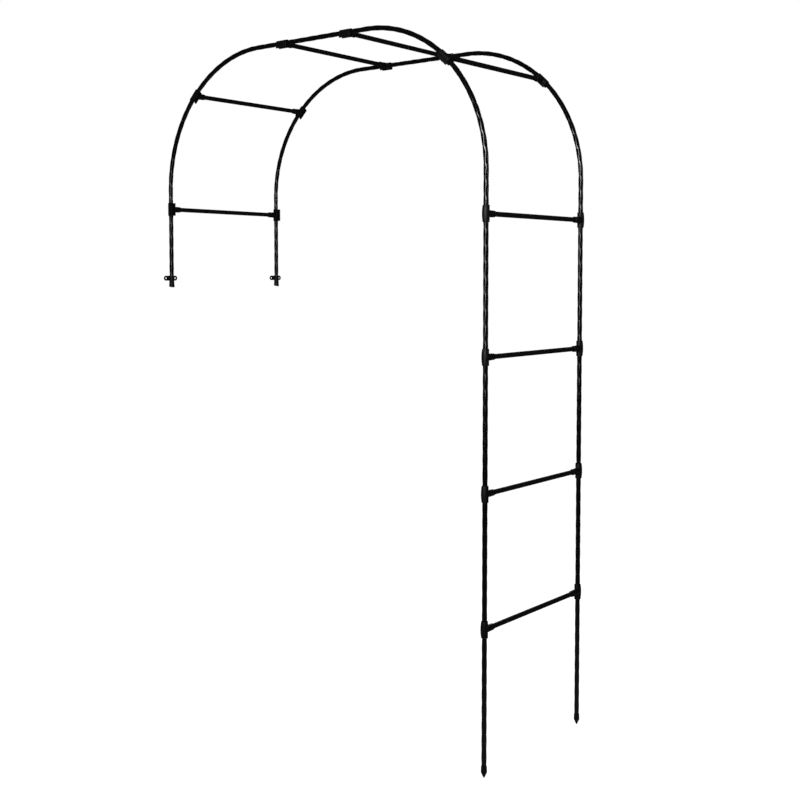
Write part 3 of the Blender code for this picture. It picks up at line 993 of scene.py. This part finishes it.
def softbox(name, place, target, width, height, power):
    """A rectangular soft light with a grid, which keeps it off most of the floor."""
    light = bpy.data.lights.new(name, "AREA")
    light.shape = "RECTANGLE"
    light.size = width
    light.size_y = height
    light.energy = power
    light.spread = BEAM_SPREAD
    lamp = bpy.data.objects.new(name, light)
    bpy.context.scene.collection.objects.link(lamp)
    lamp.matrix_world = aim(place, target)
    lamp.visible_camera = False


class TRELLIS_OT_stage(bpy.types.Operator):
    """Lay the floor, hang the lights and stand the camera"""

    bl_idname = "trellis.stage"
    bl_label = "Stage"

    def execute(self, context):
        settings = context.scene.trellis_stage
        colours = context.scene.trellis_colours
        self.lay_floor(settings, colours)
        self.light_room(context, colours)
        for name, place, target, width, height, power in SOFTBOXES:
            softbox(name, place, target, width, height, power)
        self.stand_camera(context, settings)
        context.scene.view_settings.view_transform = "Standard"
        return {"FINISHED"}

    def lay_floor(self, settings, colours):
        """Round pale floor under the spike tips."""
        made = bmesh.new()
        bmesh.ops.create_circle(made, cap_ends=True, segments=FLOOR_SIDES, radius=settings.floor_size)
        floor = placed("studio_floor", mesh_of(made, "studio_floor"))
        floor.location.z = cad_box[0].z
        floor.data.materials.append(floor_paint(tuple(colours.floor)))

    def light_room(self, context, colours):
        """Room that is bright to look at and faint as a light."""
        world = context.scene.world or bpy.data.worlds.new("room")
        context.scene.world = world
        world.use_nodes = True
        nodes = world.node_tree.nodes
        links = world.node_tree.links
        nodes.clear()
        path = nodes.new("ShaderNodeLightPath")
        seen = nodes.new("ShaderNodeBackground")
        seen.inputs["Color"].default_value = (*colours.backdrop, 1.0)
        lit = nodes.new("ShaderNodeBackground")
        lit.inputs["Color"].default_value = (*colours.backdrop, 1.0)
        lit.inputs["Strength"].default_value = ROOM_LIGHT
        mix = nodes.new("ShaderNodeMixShader")
        output = nodes.new("ShaderNodeOutputWorld")
        links.new(path.outputs["Is Camera Ray"], mix.inputs["Fac"])
        links.new(lit.outputs["Background"], mix.inputs[1])
        links.new(seen.outputs["Background"], mix.inputs[2])
        links.new(mix.outputs["Shader"], output.inputs["Surface"])

    def stand_camera(self, context, settings):
        """Camera at the front on the ground legs' side, about two thirds of the arch's height up."""
        camera = bpy.data.cameras.new("camera")
        camera.sensor_width = settings.sensor
        camera.lens = settings.lens
        camera.shift_y = settings.rise
        camera.dof.use_dof = False
        stand = bpy.data.objects.new("camera", camera)
        context.scene.collection.objects.link(stand)
        turn = settings.camera_turn
        drop = settings.camera_drop
        back = Vector((math.sin(turn) * math.cos(drop), -math.cos(turn) * math.cos(drop), math.sin(drop)))
        place = Vector(settings.camera_place)
        stand.matrix_world = aim(place, place - back)
        context.scene.camera = stand


# ------------------------------------------------------------------------ panel

OPERATORS = (
    TRELLIS_OT_hoop_tubes,
    TRELLIS_OT_rungs,
    TRELLIS_OT_leg_tees,
    TRELLIS_OT_clip_tees,
    TRELLIS_OT_ground_spikes,
    TRELLIS_OT_end_caps,
    TRELLIS_OT_wall_clips,
    TRELLIS_OT_stage,
)


class TRELLIS_PT_arch(bpy.types.Panel):
    """Buttons and settings of the trellis arch"""

    bl_idname = "TRELLIS_PT_arch"
    bl_label = "Trellis arch"
    bl_space_type = "VIEW_3D"
    bl_region_type = "UI"
    bl_category = "Trellis arch"

    def draw(self, context):
        for operator in OPERATORS:
            self.layout.operator(operator.bl_idname)
        for group in SETTING_GROUPS:
            settings = getattr(context.scene, group)
            box = self.layout.box()
            for name in settings.bl_rna.properties.keys():
                if name not in ("rna_type", "name"):
                    box.prop(settings, name)


CLASSES = (*SETTING_GROUPS.values(), *OPERATORS, TRELLIS_PT_arch)


def register():
    """Register the classes and put the settings on the scene."""
    for new_class in CLASSES:
        bpy.utils.register_class(new_class)
    for name, group in SETTING_GROUPS.items():
        setattr(bpy.types.Scene, name, bpy.props.PointerProperty(type=group))


def unregister():
    """Take the settings off the scene and unregister the classes."""
    for name in SETTING_GROUPS:
        delattr(bpy.types.Scene, name)
    for old_class in reversed(CLASSES):
        bpy.utils.unregister_class(old_class)


def main():
    """Build every piece and the stage."""
    register()
    bpy.ops.trellis.hoop_tubes()
    bpy.ops.trellis.rungs()
    bpy.ops.trellis.leg_tees()
    bpy.ops.trellis.clip_tees()
    bpy.ops.trellis.ground_spikes()
    bpy.ops.trellis.end_caps()
    bpy.ops.trellis.wall_clips()
    bpy.ops.trellis.stage()


if __name__ == "__main__":
    main()
